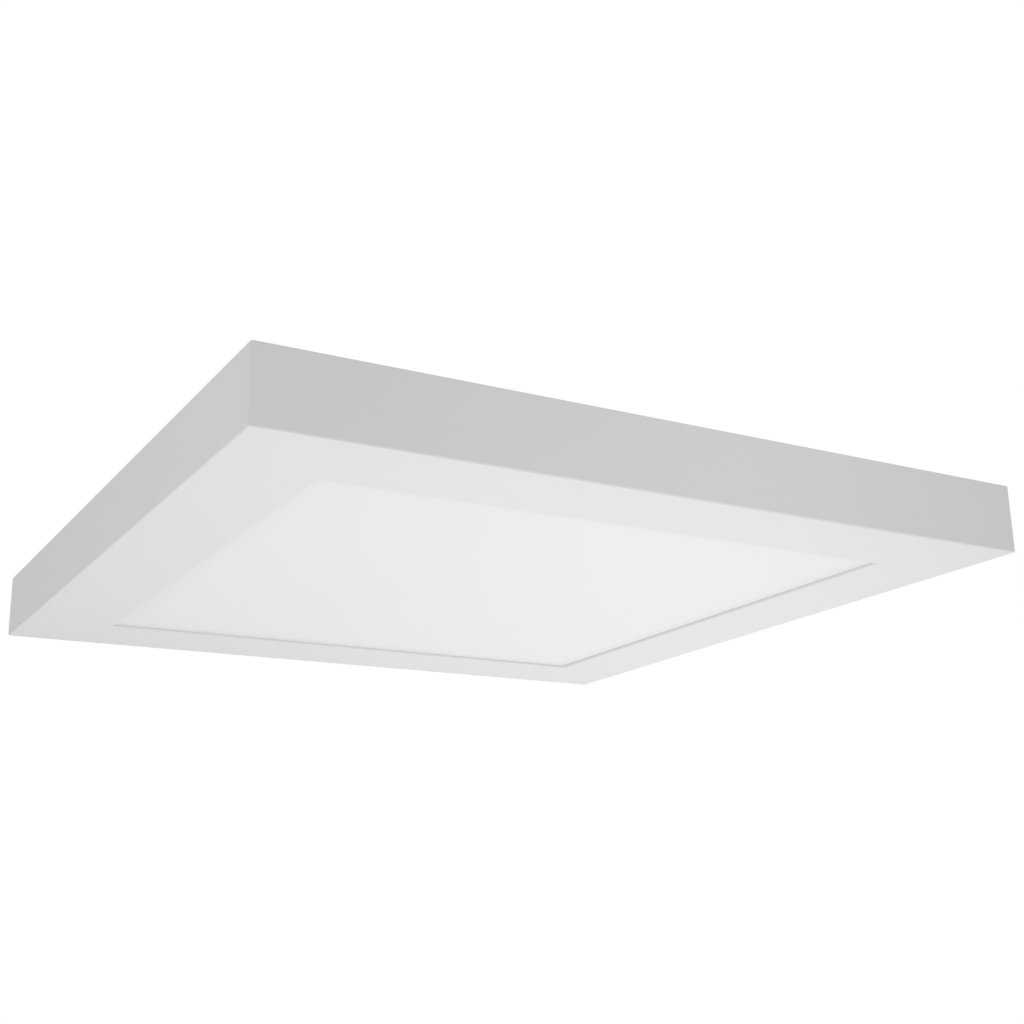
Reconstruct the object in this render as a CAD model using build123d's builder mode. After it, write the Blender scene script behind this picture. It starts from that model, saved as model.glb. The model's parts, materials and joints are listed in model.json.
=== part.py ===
from build123d import *
from math import radians, tan
import os

os.makedirs("parts", exist_ok=True)

# Frame, in millimetres, with the ceiling at z = 0 and the light facing down
BODY_SIDE = 300.0
BODY_HEIGHT = 26.0
WALL = 1.8
CORNER_R = 1.0
CAVITY_R = 1.0
FRONT_EDGE_R = 0.8
TOP_EDGE_R = 0.5
LIP_WIDTH = 36.0
LIP_THICKNESS = 1.2
OPENING_R = 0.8
OPENING_EDGE_R = 0.9
RIB_THICKNESS = 1.8
BOSS_R = 3.5
BOSS_OVERHANG = 2.5
BOSS_INSET = 25.0
BOSS_FLOOR = 0.6
GUSSET_THICKNESS = 1.6
GUSSET_HEIGHT = 4.5

# Light stack
GUIDE_OVERLAP = 6.0
GUIDE_THICKNESS = 4.0
DIFFUSER_THICKNESS = 2.0
DIFFUSER_CLEARANCE = 0.25
REFLECTOR_THICKNESS = 0.5
LED_GAP = 0.3
LED_COUNT = 24
LED_END_MARGIN = 4.0
CHIP_LENGTH = 3.5
CHIP_HEIGHT = 2.8
CHIP_THICKNESS = 0.7
BOARD_THICKNESS = 1.0
BOARD_CLEARANCE = 0.1
BOARD_END_GAP = 4.0
TAPE_THICKNESS = 0.25
JUMPER_THICKNESS = 0.3
JUMPER_HEIGHT = 3.0
JUMPER_R = 1.5

# Back plate, a pressed pan
PAN_THICKNESS = 1.0
PAN_MARGIN = 8.0
PAN_CORNER_R = 5.0
FIELD_INSET = 17.0
FIELD_RISE = 3.0
FIELD_SLOPE = 45.0
FIELD_R = 8.0
FIELD_EDGE_R = 0.8

# Fasteners
THREAD_CLEARANCE = 0.05
HOLE_CLEARANCE = 0.3
SCREW_R = 1.25
SCREW_HEAD_R = 2.8
SCREW_HEAD_HEIGHT = 2.0
SCREW_REACH = 1.5
PAN_SCREW_GRIP = 5.0
EARTH_SCREW_R = 1.9
EARTH_HEAD_R = 3.8
EARTH_HEAD_HEIGHT = 2.4
RECESS_WIDTH = 0.8
RECESS_DEPTH = 1.2
RIVET_R = 1.5
RIVET_HEAD_R = 2.7
RIVET_HEAD_HEIGHT = 1.0
RIVET_TAIL_R = 2.2
RIVET_TAIL_HEIGHT = 0.8

# Mounting plate
MOUNT_LENGTH = 168.0
MOUNT_WIDTH = 92.0
MOUNT_THICKNESS = 1.2
MOUNT_CORNER_R = 6.0
MOUNT_BEND_R = 1.0
FLANGE_WIDTH = 56.0
FLANGE_GAP = 2.4
FLANGE_CORNER_R = 3.0
WINDOW_HEIGHT = 4.6
WINDOW_CLEARANCE = 2.0
BOX_SPACING = 79.4
BOX_SLOT_LENGTH = 16.0
BOX_SLOT_WIDTH = 4.8
CEILING_SPACING_X = 120.0
CEILING_SPACING_Y = 68.0
CEILING_HOLE_R = 2.25
WIRE_HOLE_R = 11.0
WIRE_HOLE_EDGE_R = 1.0
COLLAR_WALL = 1.2
COLLAR_DEPTH = 2.6
BEAD_LENGTH = 96.0
BEAD_WIDTH = 6.0
BEAD_DEPTH = 0.8
BEAD_OFFSET = 22.0
EARTH_OFFSET = 36.0
EARTH_COLLAR_R = 3.4
EARTH_COLLAR_DEPTH = 2.0
EARTH_TIP_GAP = 0.3

# Spring clips
CLIP_THICKNESS = 0.6
CLIP_WIDTH = 14.0
CLIP_FOOT = 18.0
CLIP_GAP = 0.5
CLIP_KNEE_THROW = 1.6
CLIP_KNEE_RISE = 2.0
CLIP_LEAD_IN = 1.6
CLIP_TIP_GAP = 2.2
CLIP_BEND_R = 0.9
CLIP_RIVET_SPACING = 8.0

# Driver housing
DRIVER_LENGTH = 86.0
DRIVER_WIDTH = 38.0
DRIVER_HEIGHT = 11.0
DRIVER_WALL = 1.4
DRIVER_FLOOR = 1.2
DRIVER_LID_THICKNESS = 1.2
DRIVER_SPLIT = 7.4
DRIVER_CORNER_R = 2.5
DRIVER_EDGE_R = 0.6
DRIVER_SEAM = 0.35
LABEL_MARGIN = 7.0
LABEL_R = 2.0
LABEL_DEPTH = 0.3
DRIVER_EDGE_GAP = 10.0
DRIVER_MOUNT_GAP = 5.0
TONGUE_DEPTH = 1.2
TONGUE_WALL = 0.9
TONGUE_CLEARANCE = 0.15
EAR_LENGTH = 9.0
EAR_WIDTH = 12.0
EAR_THICKNESS = 2.0
STANDOFF_R = 2.0
STANDOFF_HEIGHT = 1.2
STANDOFF_INSET = 4.0
PORT_OFFSET = 10.0
PORT_CLEARANCE = 0.2
PORT_REACH = 5.0

# Driver electronics
CIRCUIT_THICKNESS = 1.0
CIRCUIT_CLEARANCE = 0.5
SEAT_LIFT = 0.05
CORE_LENGTH = 15.0
CORE_WIDTH = 14.0
CORE_HEIGHT = 4.0
CORE_LEG = 4.0
CORE_WINDOW_LENGTH = 9.0
CORE_WINDOW_WIDTH = 3.0
WINDING_CLEARANCE = 0.2
WINDING_BUILD = 0.8
TRANSFORMER_X = 14.0
BULK_CAPACITOR_R = 2.9
BULK_CAPACITOR_LENGTH = 14.0
BULK_CAPACITOR_X = -14.0
OUTPUT_CAPACITOR_R = 2.5
OUTPUT_CAPACITOR_LENGTH = 9.0
INDUCTOR_R = 3.2
INDUCTOR_WAIST_R = 2.2
INDUCTOR_HEIGHT = 5.0
INDUCTOR_FLANGE = 0.9
INDUCTOR_X = -1.0
FUSE_R = 1.5
FUSE_LENGTH = 9.0
END_PART_X = 27.0
SIDE_PART_Y = 8.5
CHIP_PACK_LENGTH = 5.6
CHIP_PACK_WIDTH = 4.6
CHIP_PACK_HEIGHT = 2.2

# Supply terminal
TERMINAL_LENGTH = 20.0
TERMINAL_HEIGHT = 10.6
TERMINAL_END_WALL = 2.0
TERMINAL_EDGE_R = 0.5
TERMINAL_EDGE_GAP = 10.0
POLE_COUNT = 3
POLE_PITCH = 8.4
POLE_GROOVE_WIDTH = 0.6
POLE_GROOVE_DEPTH = 0.4
TAB_LENGTH = 8.0
TAB_WIDTH = 9.0
TAB_THICKNESS = 2.2
CHANNEL_SIDE = 3.4
CHANNEL_FLOOR = 2.7
FUNNEL_SIDE = 5.0
FUNNEL_DEPTH = 2.0
FUNNEL_TAPER = 22.0
CONTACT_LENGTH = 14.0
CONTACT_WIDTH = 3.0
CONTACT_THICKNESS = 0.8
LEAF_THICKNESS = 0.4
LEAF_FOOT = 8.0
LEAF_R = 0.5
LEAF_GAP = 0.3
BUTTON_LENGTH = 4.6
BUTTON_WIDTH = 4.0
BUTTON_HEIGHT = 5.5
BUTTON_PROUD = 1.5
BUTTON_TRAVEL = 1.2
BUTTON_CLEARANCE = 0.25
BUTTON_EDGE_R = 0.4
BUTTON_STOP = 0.2
BUTTON_SHIFT = 1.0
BUTTON_SLOT_WIDTH = 0.8
BUTTON_SLOT_DEPTH = 0.5

# Leads
BEND_SHARE = 0.45
LEAD_LIFT = 0.1
SUPPLY_LEAD_R = 1.1
SUPPLY_LEAD_STRAIGHT = 6.0
SUPPLY_LEAD_BOW = 5.0
TERMINAL_REACH = 4.0
LED_LEAD_R = 0.8
LED_LEAD_PITCH = 2.4
LED_LEAD_STRAIGHT = 4.0
LED_LEAD_OVERHANG = 5.0
LED_LEAD_SAG = 1.4
LUG_R = 4.0
LUG_THICKNESS = 0.8
LUG_BARREL_WALL = 0.4
LUG_BARREL_LENGTH = 5.0
LUG_BARREL_DISTANCE = 5.0
LUG_TERMINAL_GAP = 20.0
GUARD_WALL = 0.8
GUARD_COVER = 3.0
GUARD_LENGTH = 10.0
RIB_WINDOW_CLEARANCE = 0.5

# Heights of the stack, from the front face up
FRONT_Z = -BODY_HEIGHT
LIP_TOP = FRONT_Z + LIP_THICKNESS
DIFFUSER_TOP = LIP_TOP + DIFFUSER_THICKNESS
GUIDE_TOP = DIFFUSER_TOP + GUIDE_THICKNESS
RIB_TOP = GUIDE_TOP + REFLECTOR_THICKNESS
PAN_TOP = RIB_TOP + PAN_THICKNESS
FIELD_TOP = PAN_TOP + FIELD_RISE
LED_Z = DIFFUSER_TOP + GUIDE_THICKNESS / 2

# Widths of the light chamber, from the light guide's edge out
OPENING = BODY_SIDE - 2 * LIP_WIDTH
GUIDE_SIDE = OPENING + 2 * GUIDE_OVERLAP
CHIP_FACE = GUIDE_SIDE / 2 + LED_GAP
BOARD_FACE = CHIP_FACE + CHIP_THICKNESS
BOARD_BACK = BOARD_FACE + BOARD_THICKNESS
RIB_INNER = BOARD_BACK + TAPE_THICKNESS
RIB_OUTER = RIB_INNER + RIB_THICKNESS
CAVITY_HALF = BODY_SIDE / 2 - WALL
BOARD_HEIGHT = GUIDE_THICKNESS - 2 * BOARD_CLEARANCE
BOARD_LENGTH = GUIDE_SIDE - 2 * BOARD_END_GAP
BOSS_AXIS = RIB_OUTER + BOSS_OVERHANG
BOSS_SPREAD = GUIDE_SIDE / 2 - BOSS_INSET
PAN_SIDE = 2 * (BOSS_AXIS + PAN_MARGIN)
FIELD_SIDE = GUIDE_SIDE - 2 * FIELD_INSET
FIELD_HALF = FIELD_SIDE / 2 - FIELD_RISE

# Places of the driver, the terminal and the leads
DRIVER_X = FIELD_HALF - DRIVER_EDGE_GAP - EAR_LENGTH - DRIVER_LENGTH / 2
DRIVER_Y = MOUNT_WIDTH / 2 + DRIVER_MOUNT_GAP + DRIVER_WIDTH / 2
EAR_SCREW_X = DRIVER_LENGTH / 2 + EAR_LENGTH - EAR_WIDTH / 2
CIRCUIT_Z = FIELD_TOP + DRIVER_FLOOR + STANDOFF_HEIGHT
CIRCUIT_TOP = CIRCUIT_Z + CIRCUIT_THICKNESS
TERMINAL_X = -FIELD_HALF + TERMINAL_EDGE_GAP + TERMINAL_LENGTH / 2
TERMINAL_Y = DRIVER_Y
TERMINAL_WIDTH = POLE_COUNT * POLE_PITCH + 2 * TERMINAL_END_WALL
TERMINAL_TOP = FIELD_TOP + TERMINAL_HEIGHT
TAB_SCREW_Y = TERMINAL_WIDTH / 2 + TAB_LENGTH - TAB_WIDTH / 2
CHANNEL_Z = FIELD_TOP + CHANNEL_FLOOR
CONTACT_TOP = CHANNEL_Z + CONTACT_THICKNESS
BUTTON_X = TERMINAL_X - BUTTON_SHIFT
BUTTON_BOTTOM = TERMINAL_TOP + BUTTON_PROUD - BUTTON_HEIGHT
SUPPLY_PORT_Z = CIRCUIT_TOP + SUPPLY_LEAD_R + SEAT_LIFT
LED_PORT_Z = CIRCUIT_TOP + LED_LEAD_R + SEAT_LIFT
LED_LEAD_Y = DRIVER_Y - PORT_OFFSET
LED_LEAD_TURN_X = PAN_SIDE / 2 + LED_LEAD_OVERHANG
LUG_X = TERMINAL_X + TERMINAL_LENGTH / 2 + LUG_TERMINAL_GAP
WINDOW_Z = (FIELD_TOP - MOUNT_THICKNESS) / 2
LEAF_X = MOUNT_LENGTH / 2 - MOUNT_THICKNESS - CLIP_GAP - CLIP_THICKNESS / 2
RIVET_X = LEAF_X - CLIP_FOOT / 2

BASE = (Align.CENTER, Align.CENTER, Align.MIN)
HUNG = (Align.CENTER, Align.CENTER, Align.MAX)


def around(x, y):
    """The four places that a point takes when the square is turned a quarter at a time."""
    return [(x, y), (-y, x), (-x, -y), (y, -x)]


def finish(piece, name):
    """Label a finished piece and write it as its own STEP file."""
    piece.part.label = name
    export_step(piece.part, f"parts/{name}.step")


boss_points = around(BOSS_AXIS, BOSS_SPREAD) + around(BOSS_AXIS, -BOSS_SPREAD)
pole_offsets = [(pole - (POLE_COUNT - 1) / 2) * POLE_PITCH for pole in range(POLE_COUNT)]
pole_joins = [(near + far) / 2 for near, far in zip(pole_offsets, pole_offsets[1:])]
driver_screw_points = [(DRIVER_X + side * EAR_SCREW_X, DRIVER_Y) for side in (-1, 1)]
terminal_screw_points = [(TERMINAL_X, TERMINAL_Y + side * TAB_SCREW_Y) for side in (-1, 1)]
rivet_points = [
    (side * (RIVET_X + step * CLIP_RIVET_SPACING / 2), 0) for side in (-1, 1) for step in (-1, 1)
]


# Frame: walls and rim, the rib around the light chamber, screw bosses and gussets
with BuildPart() as frame:
    with BuildSketch(Plane.XY.offset(FRONT_Z)):
        RectangleRounded(BODY_SIDE, BODY_SIDE, CORNER_R)
    extrude(amount=BODY_HEIGHT)
    fillet(frame.faces().sort_by(Axis.Z)[0].edges(), FRONT_EDGE_R)
    fillet(frame.faces().sort_by(Axis.Z)[-1].edges(), TOP_EDGE_R)
    with BuildSketch(Plane.XY.offset(LIP_TOP)):
        RectangleRounded(2 * CAVITY_HALF, 2 * CAVITY_HALF, CAVITY_R)
    extrude(amount=-LIP_TOP, mode=Mode.SUBTRACT)
    with BuildSketch(Plane.XY.offset(FRONT_Z)):
        RectangleRounded(OPENING, OPENING, OPENING_R)
    extrude(amount=LIP_THICKNESS, mode=Mode.SUBTRACT)
    fillet(frame.faces().sort_by(Axis.Z)[0].inner_wires()[0].edges(), OPENING_EDGE_R)
    with BuildSketch(Plane.XY.offset(LIP_TOP)):
        Rectangle(2 * RIB_OUTER, 2 * RIB_OUTER)
        Rectangle(2 * RIB_INNER, 2 * RIB_INNER, mode=Mode.SUBTRACT)
    extrude(amount=RIB_TOP - LIP_TOP)
    with Locations(*[(x, y, LIP_TOP) for x, y in boss_points]):
        Cylinder(BOSS_R, RIB_TOP - LIP_TOP, align=BASE)
    with PolarLocations(0, 4):
        with Locations(*[((BOSS_AXIS + CAVITY_HALF) / 2, y, LIP_TOP) for y in (-BOSS_SPREAD, BOSS_SPREAD)]):
            Box(CAVITY_HALF - BOSS_AXIS, GUSSET_THICKNESS, GUSSET_HEIGHT, align=BASE)
    with Locations(*[(x, y, RIB_TOP) for x, y in boss_points]):
        Cylinder(
            SCREW_R + THREAD_CLEARANCE,
            RIB_TOP - LIP_TOP - BOSS_FLOOR,
            align=HUNG,
            mode=Mode.SUBTRACT,
        )
    with Locations((RIB_INNER + RIB_THICKNESS / 2, LED_LEAD_Y, LED_Z)):
        Box(
            2 * RIB_THICKNESS,
            LED_LEAD_PITCH + 2 * (LED_LEAD_R + RIB_WINDOW_CLEARANCE),
            2 * (LED_LEAD_R + RIB_WINDOW_CLEARANCE),
            mode=Mode.SUBTRACT,
        )
finish(frame, "frame")


# Diffuser, light guide and reflector, stacked on the rim
def sheet(side, bottom, thickness):
    """A square sheet of the light stack."""
    with BuildPart() as piece:
        with BuildSketch(Plane.XY.offset(bottom)):
            Rectangle(side, side)
        extrude(amount=thickness)
    return piece


finish(sheet(2 * (RIB_INNER - DIFFUSER_CLEARANCE), LIP_TOP, DIFFUSER_THICKNESS), "diffuser")
finish(sheet(GUIDE_SIDE, DIFFUSER_TOP, GUIDE_THICKNESS), "light_guide")
finish(sheet(GUIDE_SIDE, GUIDE_TOP, REFLECTOR_THICKNESS), "reflector")


# LED boards and their chips, one pair for each side of the light guide
def side_plane(turn):
    """A plane at the height of the LEDs with its x axis out through one side of the square."""
    return Plane(Location((0, 0, LED_Z), (0, 0, 90 * turn)))


def led_board(turn):
    """A narrow board that stands along one side."""
    with BuildPart(side_plane(turn)) as board:
        with Locations(((BOARD_FACE + BOARD_BACK) / 2, 0, 0)):
            Box(BOARD_THICKNESS, BOARD_LENGTH, BOARD_HEIGHT)
    return board


def led_chips(turn):
    """The row of chips on the inner face of one board."""
    pitch = (BOARD_LENGTH - 2 * LED_END_MARGIN) / (LED_COUNT - 1)
    first = -BOARD_LENGTH / 2 + LED_END_MARGIN
    with BuildPart(side_plane(turn)) as chips:
        with Locations(*[((CHIP_FACE + BOARD_FACE) / 2, first + i * pitch, 0) for i in range(LED_COUNT)]):
            Box(CHIP_THICKNESS, CHIP_LENGTH, CHIP_HEIGHT)
    return chips


for turn, side_name in enumerate(("right", "rear", "left", "front")):
    finish(led_board(turn), f"led_board_{side_name}")
    finish(led_chips(turn), f"led_chips_{side_name}")


# Thermal tapes behind the boards, with a window for the LED leads
with BuildPart(Plane.XY.offset(LED_Z)) as thermal_tapes:
    with PolarLocations(0, 4):
        with Locations(((BOARD_BACK + RIB_INNER) / 2, 0, 0)):
            Box(TAPE_THICKNESS, BOARD_LENGTH, BOARD_HEIGHT)
    with Locations(((BOARD_BACK + RIB_INNER) / 2, LED_LEAD_Y, 0)):
        Box(
            TAPE_THICKNESS,
            LED_LEAD_PITCH + 2 * (LED_LEAD_R + RIB_WINDOW_CLEARANCE),
            BOARD_HEIGHT,
            mode=Mode.SUBTRACT,
        )
finish(thermal_tapes, "thermal_tapes")


# Bent strips that join the boards at three corners
board_middle = (BOARD_FACE + BOARD_BACK) / 2
with BuildPart() as flex_jumpers:
    with BuildSketch(Plane.XY.offset(LED_Z)) as jumper_outline:
        with BuildLine() as jumper_line:
            FilletPolyline(
                (board_middle, BOARD_LENGTH / 2),
                (board_middle, board_middle),
                (BOARD_LENGTH / 2, board_middle),
                radius=JUMPER_R,
            )
        trace(jumper_line.line, JUMPER_THICKNESS)
    jumper = extrude(amount=JUMPER_HEIGHT / 2, both=True, mode=Mode.PRIVATE)
    with PolarLocations(0, 3, angular_range=270):
        add(jumper)
finish(flex_jumpers, "flex_jumpers")


# Back plate: a flat flange on the rib and a raised field that carries the driver
with BuildPart() as back_plate:
    with BuildSketch(Plane.XY.offset(RIB_TOP)):
        RectangleRounded(PAN_SIDE, PAN_SIDE, PAN_CORNER_R)
    extrude(amount=PAN_THICKNESS)
    with BuildSketch(Plane.XY.offset(PAN_TOP)):
        RectangleRounded(FIELD_SIDE, FIELD_SIDE, FIELD_R)
    extrude(amount=FIELD_RISE, taper=FIELD_SLOPE)
    fillet(back_plate.faces().sort_by(Axis.Z)[-1].edges(), FIELD_EDGE_R)
    with BuildSketch(Plane.XY.offset(RIB_TOP)):
        RectangleRounded(FIELD_SIDE, FIELD_SIDE, FIELD_R)
    extrude(amount=FIELD_RISE, taper=FIELD_SLOPE, mode=Mode.SUBTRACT)
    with Locations(*[(x, y, PAN_TOP) for x, y in boss_points]):
        Hole(SCREW_R + HOLE_CLEARANCE, PAN_THICKNESS)
    with Locations(*[(x, y, FIELD_TOP) for x, y in driver_screw_points + terminal_screw_points]):
        Hole(SCREW_R + THREAD_CLEARANCE, PAN_THICKNESS)
    with Locations(*[(x, y, FIELD_TOP) for x, y in rivet_points]):
        Hole(RIVET_R, PAN_THICKNESS)
    with Locations((LUG_X, TERMINAL_Y, FIELD_TOP)):
        Hole(EARTH_SCREW_R + THREAD_CLEARANCE, PAN_THICKNESS)
finish(back_plate, "back_plate")


# Screws
def pan_head_screw(shank_r, length, head_r, head_height):
    """A screw with a rounded head above z = 0, a cross recess and its shank below."""
    with BuildPart() as screw:
        Cylinder(head_r, head_height, align=BASE)
        fillet(screw.edges().group_by(Axis.Z)[-1], head_height / 2)
        Cylinder(shank_r, length, align=HUNG)
        chamfer(screw.edges().group_by(Axis.Z)[0], shank_r / 3)
        with Locations((0, 0, head_height)):
            Box(head_r, RECESS_WIDTH, RECESS_DEPTH, align=HUNG, mode=Mode.SUBTRACT)
            Box(RECESS_WIDTH, head_r, RECESS_DEPTH, align=HUNG, mode=Mode.SUBTRACT)
    return screw.part


def screw_set(points, seat, screw):
    """Copies of one screw with their heads seated at one height."""
    with BuildPart() as screws:
        with Locations(*[(x, y, seat) for x, y in points]):
            add(screw)
    return screws


ear_screw = pan_head_screw(
    SCREW_R, EAR_THICKNESS + PAN_THICKNESS + SCREW_REACH, SCREW_HEAD_R, SCREW_HEAD_HEIGHT
)
tab_screw = pan_head_screw(
    SCREW_R, TAB_THICKNESS + PAN_THICKNESS + SCREW_REACH, SCREW_HEAD_R, SCREW_HEAD_HEIGHT
)
pan_screw = pan_head_screw(SCREW_R, PAN_THICKNESS + PAN_SCREW_GRIP, SCREW_HEAD_R, SCREW_HEAD_HEIGHT)
lug_screw = pan_head_screw(
    EARTH_SCREW_R, LUG_THICKNESS + PAN_THICKNESS + SCREW_REACH, EARTH_HEAD_R, EARTH_HEAD_HEIGHT
)
plate_screw = pan_head_screw(
    EARTH_SCREW_R,
    MOUNT_THICKNESS + EARTH_COLLAR_DEPTH - EARTH_TIP_GAP,
    EARTH_HEAD_R,
    EARTH_HEAD_HEIGHT,
)
finish(screw_set(boss_points, PAN_TOP, pan_screw), "back_plate_screws")
finish(screw_set(driver_screw_points, FIELD_TOP + EAR_THICKNESS, ear_screw), "driver_screws")
finish(screw_set(terminal_screw_points, FIELD_TOP + TAB_THICKNESS, tab_screw), "terminal_screws")
finish(screw_set([(LUG_X, TERMINAL_Y)], FIELD_TOP + LUG_THICKNESS, lug_screw), "body_earth_screw")
with BuildPart() as plate_earth_screw:
    with Locations(Location((0, EARTH_OFFSET, -MOUNT_THICKNESS - EARTH_COLLAR_DEPTH), (180, 0, 0))):
        add(plate_screw)
finish(plate_earth_screw, "plate_earth_screw")


# Mounting plate: bent flanges with clip windows, box slots, ceiling holes and wire entry
flange_x = (MOUNT_LENGTH - MOUNT_THICKNESS) / 2
flange_bottom = FIELD_TOP + FLANGE_GAP
with BuildPart() as mounting_plate:
    with BuildSketch(Plane.XZ):
        with BuildLine() as bent_sheet:
            FilletPolyline(
                (-flange_x, flange_bottom),
                (-flange_x, -MOUNT_THICKNESS / 2),
                (flange_x, -MOUNT_THICKNESS / 2),
                (flange_x, flange_bottom),
                radius=MOUNT_BEND_R + MOUNT_THICKNESS / 2,
            )
        trace(bent_sheet.line, MOUNT_THICKNESS)
    extrude(amount=FLANGE_WIDTH / 2, both=True)
    fillet(mounting_plate.edges().filter_by(Axis.X).group_by(Axis.Z)[0], FLANGE_CORNER_R)
    with BuildSketch():
        RectangleRounded(
            MOUNT_LENGTH - 2 * (MOUNT_BEND_R + MOUNT_THICKNESS), MOUNT_WIDTH, MOUNT_CORNER_R
        )
    extrude(amount=-MOUNT_THICKNESS)
    with BuildSketch(Plane.XY.offset(-MOUNT_THICKNESS)):
        Circle(WIRE_HOLE_R + COLLAR_WALL)
    extrude(amount=-COLLAR_DEPTH)
    with BuildSketch(Plane.XY.offset(-MOUNT_THICKNESS)):
        with Locations((0, EARTH_OFFSET)):
            Circle(EARTH_COLLAR_R)
    extrude(amount=-EARTH_COLLAR_DEPTH)
    with BuildSketch(Plane.XY.offset(-MOUNT_THICKNESS)):
        with Locations((0, -BEAD_OFFSET), (0, BEAD_OFFSET)):
            SlotOverall(BEAD_LENGTH, BEAD_WIDTH)
    extrude(amount=-BEAD_DEPTH)
    with BuildSketch():
        with Locations((0, -BEAD_OFFSET), (0, BEAD_OFFSET)):
            SlotOverall(BEAD_LENGTH - 2 * MOUNT_THICKNESS, BEAD_WIDTH - 2 * MOUNT_THICKNESS)
    extrude(amount=-BEAD_DEPTH, mode=Mode.SUBTRACT)
    with BuildSketch():
        with Locations((-BOX_SPACING / 2, 0), (BOX_SPACING / 2, 0)):
            SlotOverall(BOX_SLOT_LENGTH, BOX_SLOT_WIDTH)
    extrude(amount=-MOUNT_THICKNESS, mode=Mode.SUBTRACT)
    with GridLocations(CEILING_SPACING_X, CEILING_SPACING_Y, 2, 2):
        Hole(CEILING_HOLE_R, MOUNT_THICKNESS)
    with Locations((0, EARTH_OFFSET, 0)):
        Hole(EARTH_SCREW_R + THREAD_CLEARANCE, MOUNT_THICKNESS + EARTH_COLLAR_DEPTH)
    Hole(WIRE_HOLE_R, MOUNT_THICKNESS + COLLAR_DEPTH)
    top_circles = mounting_plate.edges().filter_by(GeomType.CIRCLE).group_by(Axis.Z)[-1]
    fillet(top_circles.sort_by(SortBy.RADIUS)[-1], WIRE_HOLE_EDGE_R)
    with Locations((0, 0, WINDOW_Z)):
        Box(2 * MOUNT_LENGTH, CLIP_WIDTH + 2 * WINDOW_CLEARANCE, WINDOW_HEIGHT, mode=Mode.SUBTRACT)
finish(mounting_plate, "mounting_plate")


# Spring clips on the back plate, snapped into the flange windows, and their rivets
def spring_clip(side):
    """A bent strip: foot, standing leaf, knee in the window and an inward lead-in tip."""
    foot_z = FIELD_TOP + CLIP_THICKNESS / 2
    with BuildPart() as clip:
        with BuildSketch(Plane.XZ):
            with BuildLine() as strip:
                FilletPolyline(
                    (side * (LEAF_X - CLIP_FOOT), foot_z),
                    (side * LEAF_X, foot_z),
                    (side * LEAF_X, WINDOW_Z - CLIP_KNEE_RISE),
                    (side * (LEAF_X + CLIP_KNEE_THROW), WINDOW_Z),
                    (side * (LEAF_X - CLIP_LEAD_IN), -MOUNT_THICKNESS - CLIP_TIP_GAP),
                    radius=CLIP_BEND_R,
                )
            trace(strip.line, CLIP_THICKNESS)
        extrude(amount=CLIP_WIDTH / 2, both=True)
        with Locations(*[(x, y, foot_z) for x, y in rivet_points if x * side > 0]):
            Hole(RIVET_R, CLIP_THICKNESS)
    return clip


finish(spring_clip(-1), "spring_clip_left")
finish(spring_clip(1), "spring_clip_right")

with BuildPart() as clip_rivets:
    with Locations(*[(x, y, FIELD_TOP - PAN_THICKNESS) for x, y in rivet_points]):
        Cylinder(RIVET_R, PAN_THICKNESS + CLIP_THICKNESS, align=BASE)
        Cylinder(RIVET_TAIL_R, RIVET_TAIL_HEIGHT, align=HUNG)
    with Locations(*[(x, y, FIELD_TOP + CLIP_THICKNESS) for x, y in rivet_points]):
        Cylinder(RIVET_HEAD_R, RIVET_HEAD_HEIGHT, align=BASE)
    fillet(clip_rivets.edges().group_by(Axis.Z)[-1], RIVET_HEAD_HEIGHT / 2)
finish(clip_rivets, "clip_rivets")


# Driver housing: a tray with ears and ports, and a lid with a blank panel and a tongue inside the tray
driver_plane = Plane((DRIVER_X, DRIVER_Y, FIELD_TOP))
inner_length = DRIVER_LENGTH - 2 * DRIVER_WALL
inner_width = DRIVER_WIDTH - 2 * DRIVER_WALL
inner_r = DRIVER_CORNER_R - DRIVER_WALL / 2
with BuildPart(driver_plane) as driver_base:
    with BuildSketch(driver_plane):
        RectangleRounded(DRIVER_LENGTH, DRIVER_WIDTH, DRIVER_CORNER_R)
    extrude(amount=DRIVER_SPLIT)
    with BuildSketch(driver_plane):
        SlotOverall(DRIVER_LENGTH + 2 * EAR_LENGTH, EAR_WIDTH)
    extrude(amount=EAR_THICKNESS)
    with BuildSketch(driver_plane.offset(DRIVER_FLOOR)):
        RectangleRounded(inner_length, inner_width, inner_r)
    extrude(amount=DRIVER_SPLIT - DRIVER_FLOOR, mode=Mode.SUBTRACT)
    with BuildSketch(driver_plane.offset(DRIVER_FLOOR)):
        with GridLocations(inner_length - 2 * STANDOFF_INSET, inner_width - 2 * STANDOFF_INSET, 2, 2):
            Circle(STANDOFF_R)
    extrude(amount=STANDOFF_HEIGHT)
    with Locations((-EAR_SCREW_X, 0, EAR_THICKNESS), (EAR_SCREW_X, 0, EAR_THICKNESS)):
        Hole(SCREW_R + HOLE_CLEARANCE, EAR_THICKNESS)
    with Locations((-DRIVER_LENGTH / 2, 0, SUPPLY_PORT_Z - FIELD_TOP)):
        with GridLocations(0, 2 * PORT_OFFSET, 1, 2):
            Cylinder(SUPPLY_LEAD_R + PORT_CLEARANCE, 3 * DRIVER_WALL, rotation=(0, 90, 0), mode=Mode.SUBTRACT)
    with Locations((DRIVER_LENGTH / 2, -PORT_OFFSET, LED_PORT_Z - FIELD_TOP)):
        with GridLocations(0, LED_LEAD_PITCH, 1, 2):
            Cylinder(LED_LEAD_R + PORT_CLEARANCE, 3 * DRIVER_WALL, rotation=(0, 90, 0), mode=Mode.SUBTRACT)
finish(driver_base, "driver_base")

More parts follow.
